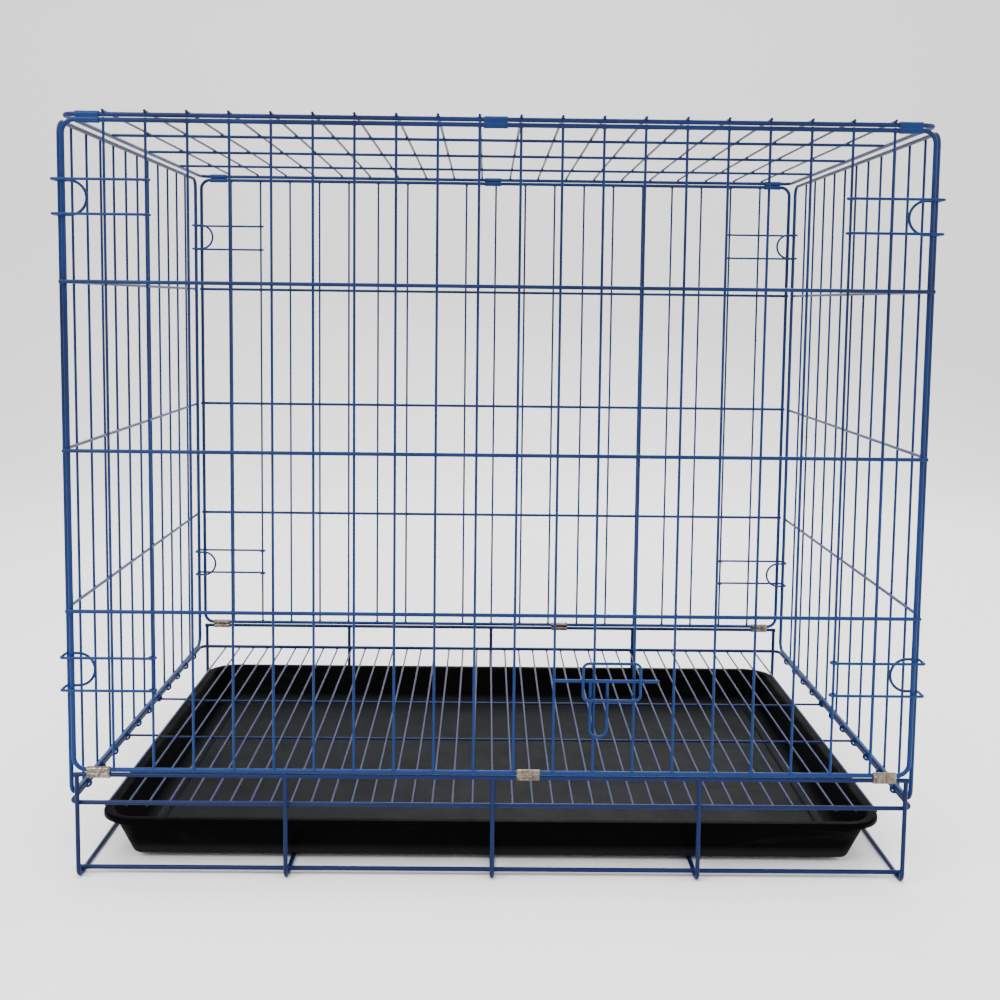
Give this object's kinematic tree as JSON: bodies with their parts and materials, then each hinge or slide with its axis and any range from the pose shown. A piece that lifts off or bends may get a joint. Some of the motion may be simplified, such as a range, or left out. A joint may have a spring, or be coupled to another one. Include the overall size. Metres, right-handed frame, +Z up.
{
  "type": "wire dog crate",
  "caption": "Folding wire dog crate on a raised wire floor, with inward-folding side panels, corner spring latches and a slide-out plastic tray.",
  "frame": {"origin": "centre of the footprint, on the ground under the runners", "axes": "+X to the right along the long side, -Y is the front, +Z up"},
  "size_m": [0.7566, 0.5283, 0.6697],
  "materials": {
    "panel_wire_paint": "glossy powder coat",
    "base_wire_paint": "glossy powder coat",
    "latch_wire_paint": "glossy powder coat",
    "bare_clip_steel": "mottled zinc",
    "tray_plastic": "fine grained, slightly glossy rim"
  },
  "bodies": {
    "cage": {"base_front_rail": "base_wire_paint", "base_rear_rail": "base_wire_paint", "runner_1": "base_wire_paint", "runner_2": "base_wire_paint", "runner_3": "base_wire_paint", "runner_4": "base_wire_paint", "runner_5": "base_wire_paint", "low_wire_front": "base_wire_paint", "low_wire_rear": "base_wire_paint", "floor_frame": "base_wire_paint", "floor_bars": "base_wire_paint", "floor_cross_wires": "base_wire_paint", "front_frame": "panel_wire_paint", "front_uprights": "panel_wire_paint", "front_cross_wires": "panel_wire_paint", "rear_frame": "panel_wire_paint", "rear_uprights": "panel_wire_paint", "rear_cross_wires": "panel_wire_paint", "top_frame": "panel_wire_paint", "top_bars": "panel_wire_paint", "top_cross_wires": "panel_wire_paint", "top_front_clips": "panel_wire_paint", "top_rear_clips": "panel_wire_paint", "bottom_front_clips": "bare_clip_steel", "bottom_rear_clips": "bare_clip_steel", "latch_front_left_upper": "latch_wire_paint", "latch_front_left_lower": "latch_wire_paint", "latch_front_right_upper": "latch_wire_paint", "latch_front_right_lower": "latch_wire_paint", "latch_rear_left_upper": "latch_wire_paint", "latch_rear_left_lower": "latch_wire_paint", "latch_rear_right_upper": "latch_wire_paint", "latch_rear_right_lower": "latch_wire_paint", "bolt_guide": "latch_wire_paint"},
    "left_panel": {"left_frame": "panel_wire_paint", "left_uprights": "panel_wire_paint", "left_cross_wires": "panel_wire_paint", "left_hinge_eyes": "panel_wire_paint"},
    "right_panel": {"right_frame": "panel_wire_paint", "right_uprights": "panel_wire_paint", "right_cross_wires": "panel_wire_paint", "right_hinge_eyes": "panel_wire_paint"},
    "tray": {"tray": "tray_plastic"},
    "bolt": {"slide_bolt": "latch_wire_paint"}
  },
  "joints": [
    {"name": "left_panel_fold", "type": "hinge", "parent": "cage", "child": "left_panel", "pos_m": [-0.373, 0, 0.068], "axis": [0, 1, 0], "range_deg": [0, 90]},
    {"name": "right_panel_fold", "type": "hinge", "parent": "cage", "child": "right_panel", "pos_m": [0.373, 0, 0.068], "axis": [0, -1, 0], "range_deg": [0, 87]},
    {"name": "tray_slide", "type": "slide", "parent": "cage", "child": "tray", "axis": [1, 0, 0], "range_m": [0, 0.7]},
    {"name": "bolt_slide", "type": "slide", "parent": "cage", "child": "bolt", "axis": [1, 0, 0], "range_m": [-0.02, 0.015]}
  ]
}
